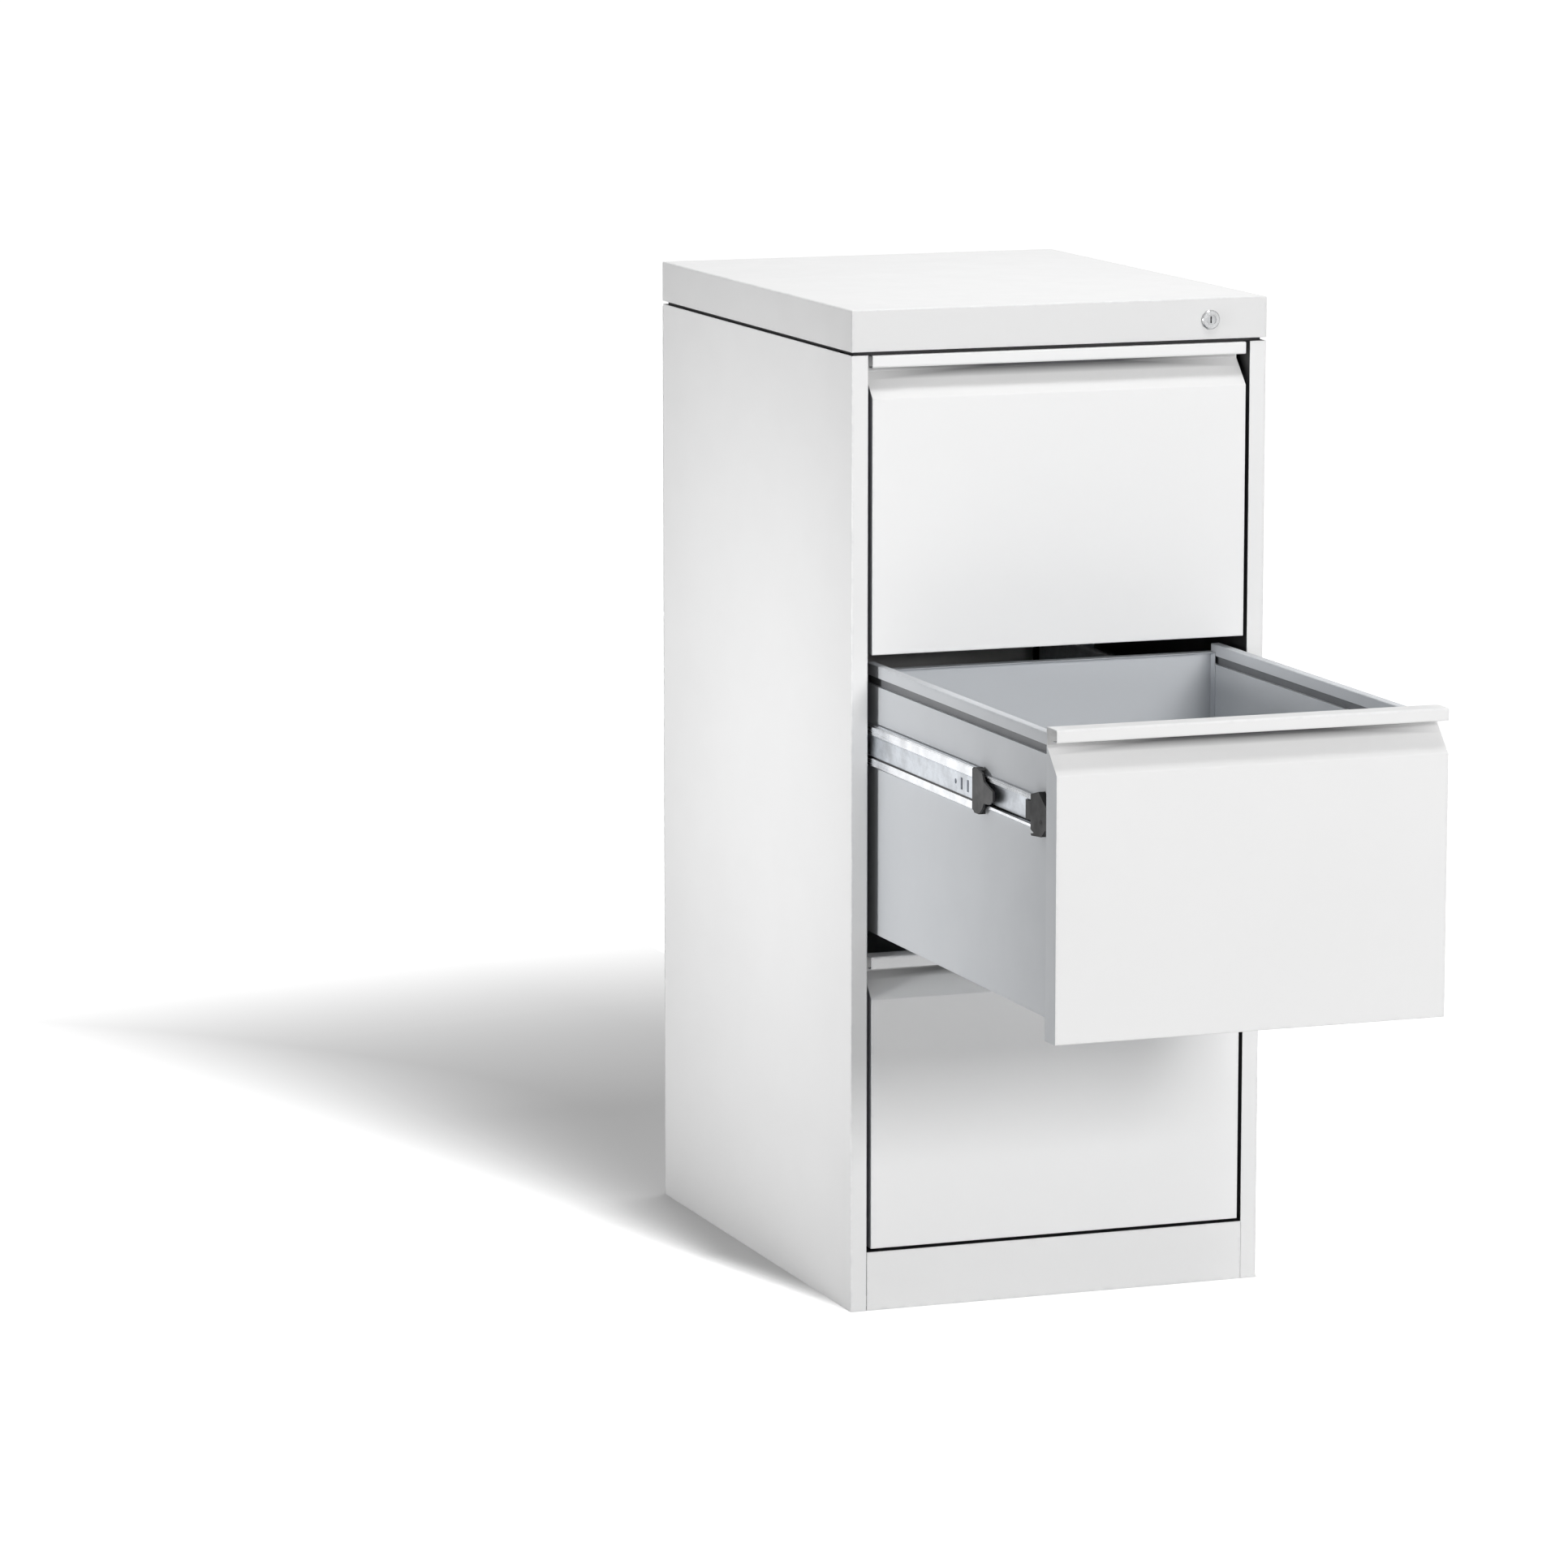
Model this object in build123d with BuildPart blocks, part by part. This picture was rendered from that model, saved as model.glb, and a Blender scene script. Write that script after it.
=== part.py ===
from build123d import *
import os
from math import cos, radians, sin

os.makedirs("parts", exist_ok=True)

# Three-drawer hanging file cabinet, modelled with its middle drawer open.
# X runs to the right seen from the front, the front faces -Y and Z is up.
# The origin is at floor level, half way between the open front and the back.

# Overall size and carcass
cabinet_width = 460
cabinet_depth = 590
cabinet_height = 1045
open_distance = 500
sheet = 1.0
thin_sheet = 0.8
bend = 1.2
stile_width = 18
stile_return = 45
side_play = 0.3
rear_flange = 20
top_flange = 14
back_flange = 12
half_width = cabinet_width / 2
opening_half = half_width - stile_width
front_y = (open_distance - cabinet_depth) / 2
back_y = front_y + cabinet_depth

# Plinth, base, deck and cover
plinth_height = 62
plinth_top_flange = 28
plinth_lip = 12
plinth_foot_flange = 15
base_height = 51
base_skirt = 20
cover_height = 43
shadow_gap = 3.5
cover_base = cabinet_height - cover_height
panel_top = cover_base - shadow_gap
cover_flange = 12
cover_edge_radius = 1.8
deck_setback = 5

# Levelling feet
foot_pad_radius = 14
foot_pad_height = 5
foot_stud_radius = 4
foot_nut_width = 13
foot_nut_height = 6
foot_inset_x = 45
foot_inset_y = 75

# Drawer fronts: three share the height between plinth and deck
drawer_count = 3
reveal = 3.5
deck_play = 0.5
lowest_front = plinth_height + reveal
drawer_pitch = (panel_top - deck_play + reveal - lowest_front) / drawer_count
front_height = drawer_pitch - reveal
front_side_gap = 4.75
front_half = opening_half - front_side_gap
front_depth = 26
lip_height = 12.8
lip_hem = 10
recess_foot = 18.9
bevel_foot = 44.8
liner_foot = 1
liner_lap = 4
liner_top = front_height - recess_foot + liner_lap

# Drawer box
slide_thickness = 12.7
box_half = opening_half - slide_thickness
wall_thickness = 10
box_length = 515
box_floor = 19
rim_drop = 9
rim_top = front_height - rim_drop
rim_height = 12
neck_height = 9
neck_thickness = 3
tray_edge = 12
back_drop = 8
back_top = rim_top - back_drop

# Ball slides: starts and reaches are measured from the carcass towards the
# drawer, halves up and down from the middle of the slide
slide_drop = 90
slide_height = front_height - slide_drop
slide_setback = 28
slide_sheet = 1.2
member_bevel = 1.4
cabinet_member_half = 26.5
cabinet_member_reach = 10.2
cabinet_member_lip = 3.2
cabinet_member_length = 545
middle_member_start = 2.6
middle_member_half = 21.5
middle_member_reach = 10.0
middle_member_lip = 3.0
middle_member_setback = 90
middle_member_length = 475
middle_web_half = 10
middle_web_recess = 1.8
drawer_member_half = 16.5
drawer_member_start = 6.9
drawer_member_lip = 4.5
drawer_member_length = 460
cage_sheet = 0.6
cage_bevel = 0.7
outer_cage_start = 1.6
outer_cage_half = 23.9
outer_cage_reach = 8.4
outer_cage_near = 223
outer_cage_length = 145
inner_cage_start = 6.0
inner_cage_half = 18.9
inner_cage_reach = 8.2
inner_cage_near = 165
inner_cage_length = 290
middle_share = 0.75
outer_cage_share = middle_share / 2
inner_cage_share = (1 + middle_share) / 2

# Holes of the slides, placed back from the front end of their member
cabinet_slot_length = 16
cabinet_slot_height = 4.5
cabinet_slot_place = 90
middle_slot_length = 5
middle_slot_height = 12
middle_slot_places = (16, 33)
middle_hole_radius = 2.6
middle_hole_place = 49
tab_slit = 2
tab_slit_length = 14
tab_slit_height = 10
tab_slit_places = (22, 160, 390)

# Latch cap in front of each drawer member
cap_length = 40
cap_half = 22.9
cap_clearance = 0.2
cap_reach = 5.4
cap_tongue_length = 20
cap_tongue_half = 9.5

# Stop cap on the front end of each intermediate member
stop_half = 23
stop_block_length = 18
stop_plate_thickness = 2.3
stop_plate_length = 31
stop_lever_length = 55
stop_window_clearance = 0.4

# Rear uprights
upright_near = 470
upright_web = 40
upright_flange = 14
upright_sheet = 1.2
upright_foot = base_height
upright_top_gap = 13.5
upright_top = panel_top - upright_top_gap

# Cam lock
lock_inset = 45.6
lock_drop = 22.6
lock_x = opening_half - lock_inset
lock_z = cabinet_height - lock_drop
ring_radius = 10
ring_proud = 3
barrel_radius = 8
barrel_hole_clearance = 0.2
ring_chamfer = 1
barrel_end = 24
plug_radius = 5.5
plug_clearance = 0.05
plug_proud = 2.2
key_slot_width = 1.6
key_slot_height = 7
key_slot_depth = 8
cam_gap = 1
cam_thickness = 2
cam_hub_radius = 7.5
cam_end_radius = 5
pin_radius = 2.5
pin_distance = 12
pin_length = 4
cam_angle = -45

# Lock bar, its hooks, catches and guides
bar_inset = 3.5
bar_x = opening_half + bar_inset
bar_thickness = 2
bar_front = 14
bar_rear = 30
bar_foot = 150
weld_gap = 0.05
bar_lift = 2 * pin_distance * sin(radians(-cam_angle))
arm_half_height = 8
arm_end_gap = 1.6
arm_end_x = lock_x + arm_end_gap
pin_slot_play = 0.75
hook_wall_gap = 3.7
hook_reach_x = box_half + hook_wall_gap
hook_height = 12
hook_gap = 1.65
catch_edge_gap = 2.5
catch_reach_x = opening_half - catch_edge_gap
catch_sheet = 2
catch_front = 31
catch_length = 16
catch_height = 10
catch_lift = 3
hook_level = slide_height + cabinet_member_half + hook_gap
catch_level = hook_level + hook_height + catch_lift
window_play = 3
notch_play = 2
guide_height = 16
guide_wall = 3
guide_clearance = 0.3
guide_drop = 62.5

drawers = (("bottom", 0, 0), ("middle", 1, open_distance), ("top", 2, 0))
sides = (("left", -1), ("right", 1))


def save(shape, name):
    """Give a finished piece its name and write it to the parts folder."""
    shape.label = name
    export_step(shape, "parts/" + name + ".step")


def mirrored_for(shape, side):
    """Pieces are drawn for the right side; the left one is the mirror image."""
    if side > 0:
        return shape
    return mirror(shape, about=Plane.YZ)


def bevelled(corners, cut):
    """The path through the corners, with each bend cut by one short facet."""
    path = [corners[0]]
    for before, here, after in zip(corners, corners[1:], corners[2:]):
        for neighbour in (before, after):
            run = Vector(*neighbour) - Vector(*here)
            path.append(Vector(*here) + run.normalized() * cut)
    return path + [corners[-1]]


# Side panels: one sheet folded into return flange, stile, wall and rear flange.
# The right one has a window for each hook of the lock bar.
for side_name, side in sides:
    with BuildPart() as side_panel:
        with BuildSketch(Plane.XY):
            with BuildLine():
                FilletPolyline(
                    (opening_half, front_y + stile_return),
                    (opening_half, front_y),
                    (half_width, front_y),
                    (half_width, back_y - sheet),
                    (half_width - rear_flange, back_y - sheet),
                    radius=bend,
                )
                offset(amount=sheet, side=Side.LEFT)
            make_face()
        extrude(amount=panel_top)
        flange_near = front_y + stile_return
        flange_far = back_y - 2 * sheet
        with BuildSketch(Plane.XY.offset(panel_top - sheet)):
            with Locations((half_width - sheet, (flange_near + flange_far) / 2)):
                Rectangle(top_flange, flange_far - flange_near, align=(Align.MAX, Align.CENTER))
        extrude(amount=sheet)
        if side > 0:
            for drawer_name, level, forward in drawers:
                window_foot = lowest_front + level * drawer_pitch + hook_level - window_play
                window_height = hook_height + bar_lift + 2 * window_play
                with BuildSketch(Plane.YZ.offset(opening_half - sheet)):
                    with Locations((front_y + bar_rear - bar_thickness / 2, window_foot)):
                        Rectangle(
                            bar_thickness + 2 * window_play,
                            window_height,
                            align=(Align.CENTER, Align.MIN),
                        )
                extrude(amount=3 * sheet, mode=Mode.SUBTRACT)
    save(mirrored_for(side_panel.part, side), side_name + "_side_panel")

# Back panel: a flat sheet over the rear flanges with a return along its top.
with BuildPart() as back_panel:
    back_flange_half = half_width - rear_flange - sheet
    with BuildSketch(Plane.YZ.offset(-back_flange_half)):
        with BuildLine():
            FilletPolyline(
                (back_y - back_flange, panel_top),
                (back_y, panel_top),
                (back_y, 0),
                radius=bend,
            )
            offset(amount=sheet, side=Side.RIGHT)
        make_face()
    extrude(amount=2 * back_flange_half)
    with BuildSketch(Plane.XZ.offset(-back_y)):
        Rectangle(cabinet_width, panel_top - 2 * bend, align=(Align.CENTER, Align.MIN))
    extrude(amount=sheet)
save(back_panel.part, "back_panel")

# Base panel: an upside-down pan between the side panels, notched at the front
# corners for the return flanges of the stiles.
with BuildPart() as base_panel:
    pan_near = front_y + plinth_top_flange
    pan_far = back_y - 2 * sheet - bend
    notch_far = front_y + stile_return + side_play
    pan_half = half_width - sheet
    notch_half = opening_half - side_play
    with BuildSketch(Plane.XY.offset(base_height - base_skirt)):
        with BuildLine():
            Polyline(
                (-notch_half, pan_near),
                (notch_half, pan_near),
                (notch_half, notch_far),
                (pan_half, notch_far),
                (pan_half, pan_far),
                (-pan_half, pan_far),
                (-pan_half, notch_far),
                (-notch_half, notch_far),
                close=True,
            )
        make_face()
    extrude(amount=base_skirt)
    pan_underside = base_panel.faces().sort_by(Axis.Z)[0]
    offset(amount=-sheet, openings=pan_underside, kind=Kind.INTERSECTION)
save(base_panel.part, "base_panel")

# Plinth rail: channel folded back at the floor and at the top, with a lip.
with BuildPart() as plinth_rail:
    plinth_half = opening_half - side_play
    with BuildSketch(Plane.YZ.offset(-plinth_half)):
        with BuildLine():
            FilletPolyline(
                (front_y + plinth_foot_flange, 0),
                (front_y, 0),
                (front_y, plinth_height),
                (front_y + plinth_top_flange, plinth_height),
                (front_y + plinth_top_flange, plinth_height - plinth_lip),
                radius=(0, bend, 0),
            )
            offset(amount=sheet, side=Side.RIGHT)
        make_face()
    extrude(amount=2 * plinth_half)
save(plinth_rail.part, "plinth_rail")

# Levelling feet: round pad, stud and hexagon nut under the base panel.
with BuildPart() as levelling_feet:
    foot_x = half_width - foot_inset_x
    foot_y = cabinet_depth / 2 - foot_inset_y
    middle_y = (front_y + back_y) / 2
    foot_places = [(foot_x * i, middle_y + foot_y * j) for i in (-1, 1) for j in (-1, 1)]
    with BuildSketch(Plane.XY):
        with Locations(*foot_places):
            Circle(foot_pad_radius)
    extrude(amount=foot_pad_height)
    with BuildSketch(Plane.XY):
        with Locations(*foot_places):
            Circle(foot_stud_radius)
    extrude(amount=base_height - sheet)
    with BuildSketch(Plane.XY.offset(base_height - sheet - foot_nut_height)):
        with Locations(*foot_places):
            RegularPolygon(foot_nut_width / 2, 6, major_radius=False)
    extrude(amount=foot_nut_height)
save(levelling_feet.part, "levelling_feet")

# Top deck: closes the carcass; its turned-up edge carries the cover and leaves
# the dark shadow gap. A notch in one corner lets the lock bar through.
with BuildPart() as top_deck:
    deck_half = half_width - deck_setback
    with BuildSketch(Plane.XY.offset(panel_top)):
        with Locations((0, middle_y)):
            Rectangle(2 * deck_half, cabinet_depth - 2 * deck_setback)
    extrude(amount=shadow_gap)
    deck_upper_face = top_deck.faces().sort_by(Axis.Z)[-1]
    offset(amount=-sheet, openings=deck_upper_face, kind=Kind.INTERSECTION)
    with BuildSketch(Plane.XY.offset(panel_top)):
        with Locations((bar_x, front_y + (bar_front + bar_rear) / 2)):
            Rectangle(bar_thickness + 2 * notch_play, bar_rear - bar_front + 2 * notch_play)
    extrude(amount=sheet, mode=Mode.SUBTRACT)
save(top_deck.part, "top_deck")

# Top cover: a deep cap with rounded edges and an inward flange all round,
# pierced at the front for the cam lock.
with BuildPart() as top_cover:
    with BuildSketch(Plane.XY.offset(cover_base)):
        with Locations((0, middle_y)):
            Rectangle(cabinet_width, cabinet_depth)
    extrude(amount=cabinet_height - cover_base)
    fillet(top_cover.edges().group_by(Axis.Z)[-1], radius=cover_edge_radius)
    with BuildSketch(Plane.XY.offset(cover_base)):
        with Locations((0, middle_y)):
            Rectangle(cabinet_width - 2 * sheet, cabinet_depth - 2 * sheet)
    extrude(amount=cabinet_height - cover_base - sheet, mode=Mode.SUBTRACT)
    with BuildSketch(Plane.XY.offset(cover_base)):
        with Locations((0, middle_y)):
            Rectangle(cabinet_width - sheet, cabinet_depth - sheet)
            Rectangle(
                cabinet_width - 2 * cover_flange,
                cabinet_depth - 2 * cover_flange,
                mode=Mode.SUBTRACT,
            )
    extrude(amount=sheet)
    with BuildSketch(Plane.XZ.offset(-front_y - 2 * sheet)):
        with Locations((lock_x, lock_z)):
            Circle(barrel_radius + barrel_hole_clearance)
    extrude(amount=3 * sheet, mode=Mode.SUBTRACT)
save(top_cover.part, "top_cover")

# Rear uprights: hat sections on the side panels that carry the slides.
for side_name, side in sides:
    with BuildPart() as rear_upright:
        near = front_y + upright_near
        far = near + upright_web
        seat = half_width - sheet - upright_sheet
        with BuildSketch(Plane.XY.offset(upright_foot)):
            hat_corners = [(seat, near - upright_flange), (seat, near), (opening_half, near)]
            hat_corners += [(opening_half, far), (seat, far), (seat, far + upright_flange)]
            with BuildLine():
                Polyline(*bevelled(hat_corners, upright_sheet))
                offset(amount=upright_sheet, side=Side.RIGHT)
            make_face()
        extrude(amount=upright_top - upright_foot)
    save(mirrored_for(rear_upright.part, side), side_name + "_rear_upright")


def slide_channel(start, half, reach, lip, near, length, middle_z, thickness, bevel, recess=0):
    """Channel of a ball slide with its web near the carcass, on the right side.

    The web stands at the distance start from the carcass, the legs run to the
    distance reach, and a lip turns inward where the channel has one. A recess
    sets the middle of the web back from its two ball tracks.
    """
    web_x = opening_half - start
    edge_x = opening_half - reach
    corners = [(edge_x, middle_z + half), (web_x, middle_z + half)]
    corners += [(web_x, middle_z - half), (edge_x, middle_z - half)]
    if lip > 0:
        corners.insert(0, (edge_x, middle_z + half - lip))
        corners.append((edge_x, middle_z - half + lip))
    path = bevelled(corners, bevel)
    if recess > 0:
        halfway = len(path) // 2
        path[halfway:halfway] = [
            (web_x, middle_z + middle_web_half + recess),
            (web_x - recess, middle_z + middle_web_half),
            (web_x - recess, middle_z - middle_web_half),
            (web_x, middle_z - middle_web_half - recess),
        ]
    with BuildPart() as channel:
        with BuildSketch(Plane.XZ.offset(-near)):
            with BuildLine():
                Polyline(*path)
                offset(amount=thickness, side=Side.RIGHT, kind=Kind.INTERSECTION)
            make_face()
        extrude(amount=-length)
    return channel.part


for drawer_name, level, forward in drawers:
    base_z = lowest_front + level * drawer_pitch
    face_y = front_y - forward
    middle_z = base_z + slide_height

    # Cabinet member of each slide, screwed to the stile return and the upright.
    with BuildPart() as cabinet_member:
        add(
            slide_channel(
                0,
                cabinet_member_half,
                cabinet_member_reach,
                cabinet_member_lip,
                front_y + slide_setback,
                cabinet_member_length,
                middle_z,
                slide_sheet,
                member_bevel,
            )
        )
        with BuildSketch(Plane.YZ.offset(opening_half - 2 * slide_sheet)):
            with Locations((front_y + slide_setback + cabinet_slot_place, middle_z)):
                Rectangle(cabinet_slot_length, cabinet_slot_height)
        extrude(amount=3 * slide_sheet, mode=Mode.SUBTRACT)
    for side_name, side in sides:
        piece_name = drawer_name + "_" + side_name + "_cabinet_slide"
        save(mirrored_for(cabinet_member.part, side), piece_name)

    # Intermediate member: its web is set back between the two ball tracks and
    # has a hole and two upright slots. A moulded stop cap closes its front end,
    # with a window for the drawer member and a release lever that points forward.
    with BuildPart() as middle_member:
        member_near = front_y + middle_member_setback - forward * middle_share
        add(
            slide_channel(
                middle_member_start,
                middle_member_half,
                middle_member_reach,
                middle_member_lip,
                member_near,
                middle_member_length,
                middle_z,
                slide_sheet,
                member_bevel,
                recess=middle_web_recess,
            )
        )
        track_x = opening_half - middle_member_start
        web_inner_x = track_x - middle_web_recess - slide_sheet
        with BuildSketch(Plane.YZ.offset(web_inner_x - slide_sheet)):
            with Locations((member_near + middle_hole_place, middle_z)):
                Circle(middle_hole_radius)
            for place in middle_slot_places:
                with Locations((member_near + place, middle_z)):
                    Rectangle(middle_slot_length, middle_slot_height)
        extrude(amount=3 * slide_sheet, mode=Mode.SUBTRACT)
        stop_inner_x = opening_half - middle_member_reach
        with BuildSketch(Plane.YZ.offset(stop_inner_x)):
            with BuildLine():
                Polyline(
                    (member_near - cap_clearance, middle_z - 0.8 * stop_half),
                    (member_near - cap_clearance, middle_z + 0.83 * stop_half),
                    (member_near - stop_block_length / 2, middle_z + stop_half),
                    (member_near - 0.85 * stop_plate_length, middle_z + 0.83 * stop_half),
                    (member_near - stop_plate_length, middle_z + 0.5 * stop_half),
                    (member_near - stop_lever_length, middle_z + 0.22 * stop_half),
                    (member_near - stop_lever_length, middle_z - 0.18 * stop_half),
                    (member_near - 0.8 * stop_lever_length, middle_z - 0.4 * stop_half),
                    (member_near - stop_plate_length, middle_z - 0.44 * stop_half),
                    (member_near - 0.9 * stop_plate_length, middle_z - 0.65 * stop_half),
                    (member_near - stop_block_length, middle_z - stop_half),
                    (member_near - stop_block_length / 3, middle_z - stop_half),
                    close=True,
                )
            make_face()
        extrude(amount=track_x - stop_inner_x)
        with BuildSketch(Plane.YZ.offset(stop_inner_x)):
            with Locations((member_near - stop_block_length, middle_z)):
                Rectangle(stop_lever_length, 3 * stop_half, align=(Align.MAX, Align.CENTER))
        extrude(amount=track_x - stop_plate_thickness - stop_inner_x, mode=Mode.SUBTRACT)
        with BuildSketch(Plane.YZ.offset(stop_inner_x)):
            with Locations((member_near, middle_z)):
                Rectangle(
                    2 * stop_block_length + 2 * cap_clearance,
                    2 * (drawer_member_half + stop_window_clearance),
                )
        tip_x = opening_half - drawer_member_start
        extrude(amount=tip_x + stop_window_clearance - stop_inner_x, mode=Mode.SUBTRACT)
    for side_name, side in sides:
        piece_name = drawer_name + "_" + side_name + "_middle_slide"
        save(mirrored_for(middle_member.part, side), piece_name)

    # Drawer member: a lipped channel with its web on the drawer wall, and three
    # L shaped slits that free the tabs for the wall.
    with BuildPart() as drawer_member:
        member_near = face_y + slide_setback + cap_length
        wall_x = box_half
        with BuildSketch(Plane.XZ.offset(-member_near)):
            channel_corners = [
                (tip_x, middle_z + drawer_member_half - drawer_member_lip),
                (tip_x, middle_z + drawer_member_half),
                (wall_x, middle_z + drawer_member_half),
                (wall_x, middle_z - drawer_member_half),
                (tip_x, middle_z - drawer_member_half),
                (tip_x, middle_z - drawer_member_half + drawer_member_lip),
            ]
            with BuildLine():
                Polyline(*bevelled(channel_corners, member_bevel))
                offset(amount=slide_sheet, side=Side.LEFT, kind=Kind.INTERSECTION)
            make_face()
        extrude(amount=-drawer_member_length)
        with BuildSketch(Plane.YZ.offset(wall_x - slide_sheet)):
            for place in tab_slit_places:
                with Locations((member_near + place, middle_z)):
                    Rectangle(tab_slit_length, tab_slit, align=(Align.MAX, Align.MIN))
                    Rectangle(tab_slit, tab_slit_height, align=(Align.MIN, Align.MIN))
        extrude(amount=3 * slide_sheet, mode=Mode.SUBTRACT)
    for side_name, side in sides:
        piece_name = drawer_name + "_" + side_name + "_drawer_slide"
        save(mirrored_for(drawer_member.part, side), piece_name)

    # Ball cages, left and right: thin channels between the members.
    with BuildPart() as outer_cages:
        add(
            slide_channel(
                outer_cage_start,
                outer_cage_half,
                outer_cage_reach,
                0,
                front_y + outer_cage_near - forward * outer_cage_share,
                outer_cage_length,
                middle_z,
                cage_sheet,
                cage_bevel,
            )
        )
        mirror(about=Plane.YZ)
    save(outer_cages.part, drawer_name + "_outer_ball_cages")
    with BuildPart() as inner_cages:
        add(
            slide_channel(
                inner_cage_start,
                inner_cage_half,
                inner_cage_reach,
                0,
                front_y + inner_cage_near - forward * inner_cage_share,
                inner_cage_length,
                middle_z,
                cage_sheet,
                cage_bevel,
            )
        )
        mirror(about=Plane.YZ)
    save(inner_cages.part, drawer_name + "_inner_ball_cages")

    # Latch caps: moulded blocks in front of the drawer members, with a peak above,
    # a catch hook below and a tongue pushed into the channel.
    with BuildPart() as latch_caps:
        cap_near = face_y + slide_setback
        cap_far = cap_near + cap_length - cap_clearance
        cap_inner = box_half + cap_clearance
        cap_outer = opening_half - cap_reach
        with BuildSketch(Plane.YZ.offset(cap_inner)):
            with BuildLine():
                Polyline(
                    (cap_near, middle_z - 0.48 * cap_half),
                    (cap_near, middle_z + 0.44 * cap_half),
                    (cap_near + cap_length / 2, middle_z + cap_half),
                    (cap_far, middle_z + 0.78 * cap_half),
                    (cap_far, middle_z - 0.74 * cap_half),
                    (cap_far - cap_length / 5, middle_z - 0.84 * cap_half),
                    (cap_far, middle_z - 0.92 * cap_half),
                    (cap_far - cap_length / 20, middle_z - cap_half),
                    (cap_near + cap_length / 3, middle_z - 0.9 * cap_half),
                    close=True,
                )
            make_face()
        extrude(amount=cap_outer - cap_inner)
        tongue_inner = box_half + slide_sheet + cap_clearance
        tongue_outer = tip_x - slide_sheet - cap_clearance
        with BuildSketch(Plane.YZ.offset(tongue_inner)):
            with Locations((cap_far, middle_z)):
                Rectangle(
                    cap_tongue_length, 2 * cap_tongue_half, align=(Align.MIN, Align.CENTER)
                )
        extrude(amount=tongue_outer - tongue_inner)
        mirror(about=Plane.YZ)
    save(latch_caps.part, drawer_name + "_latch_caps")

    # Drawer front: one sheet folded into bottom flange, face, bevel, recess
    # and the lip that the fingers pull, closed by two end flanges.
    with BuildPart() as drawer_front:
        top_z = base_z + front_height
        recess_y = face_y + front_depth - sheet
        with BuildSketch(Plane.YZ.offset(-front_half)):
            with BuildLine():
                FilletPolyline(
                    (face_y + front_depth, base_z),
                    (face_y, base_z),
                    (face_y, top_z - bevel_foot),
                    (recess_y, top_z - recess_foot),
                    (recess_y, top_z - sheet),
                    (face_y + sheet, top_z - sheet),
                    (face_y + sheet, top_z - lip_height + sheet),
                    (face_y + lip_hem, top_z - lip_height + sheet),
                    radius=(bend, bend, 0, 0, bend, bend),
                )
                offset(amount=sheet, side=Side.RIGHT)
            make_face()
        extrude(amount=2 * front_half)
        with BuildSketch(Plane.YZ.offset(front_half - sheet)):
            with BuildLine():
                Polyline(
                    (face_y + sheet / 2, base_z + sheet / 2),
                    (face_y + sheet / 2, top_z - bevel_foot),
                    (recess_y + sheet / 2, top_z - recess_foot),
                    (face_y + front_depth, top_z - recess_foot),
                    (face_y + front_depth, base_z + sheet / 2),
                    close=True,
                )
            make_face()
        extrude(amount=sheet)
        mirror(about=Plane.YZ)
    save(drawer_front.part, drawer_name + "_drawer_front")

    # Inner front panel: flat sheet on the rear edges of the flanges.
    with BuildPart() as front_liner:
        liner_y = face_y + front_depth
        with BuildSketch(Plane.XZ.offset(-liner_y)):
            with Locations((0, base_z + (liner_foot + liner_top) / 2)):
                Rectangle(2 * (front_half - sheet), liner_top - liner_foot)
        extrude(amount=-thin_sheet)
    save(front_liner.part, drawer_name + "_front_liner")

    # Drawer sides: double skinned, narrowed under the rim so that folder hooks
    # can hang over it.
    box_near = liner_y + thin_sheet
    with BuildPart() as drawer_side:
        inner_x = box_half - wall_thickness
        neck_inner_x = box_half - (wall_thickness + neck_thickness) / 2
        neck_outer_x = neck_inner_x + neck_thickness
        rim_foot_z = base_z + rim_top - rim_height
        neck_foot_z = rim_foot_z - neck_height
        with BuildSketch(Plane.XZ.offset(-box_near)):
            with BuildLine():
                Polyline(
                    (inner_x, base_z + box_floor),
                    (inner_x, neck_foot_z),
                    (neck_inner_x, neck_foot_z),
                    (neck_inner_x, rim_foot_z),
                    (inner_x, rim_foot_z),
                    (inner_x, base_z + rim_top),
                    (box_half, base_z + rim_top),
                    (box_half, rim_foot_z),
                    (neck_outer_x, rim_foot_z),
                    (neck_outer_x, neck_foot_z),
                    (box_half, neck_foot_z),
                    (box_half, base_z + box_floor),
                    close=True,
                )
            side_outline = make_face()
            fillet(side_outline.vertices().group_by(Axis.Y)[-1], radius=bend)
            offset(amount=-thin_sheet, kind=Kind.INTERSECTION, mode=Mode.SUBTRACT)
        extrude(amount=-box_length)
    for side_name, side in sides:
        piece_name = drawer_name + "_drawer_" + side_name + "_side"
        save(mirrored_for(drawer_side.part, side), piece_name)

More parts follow.
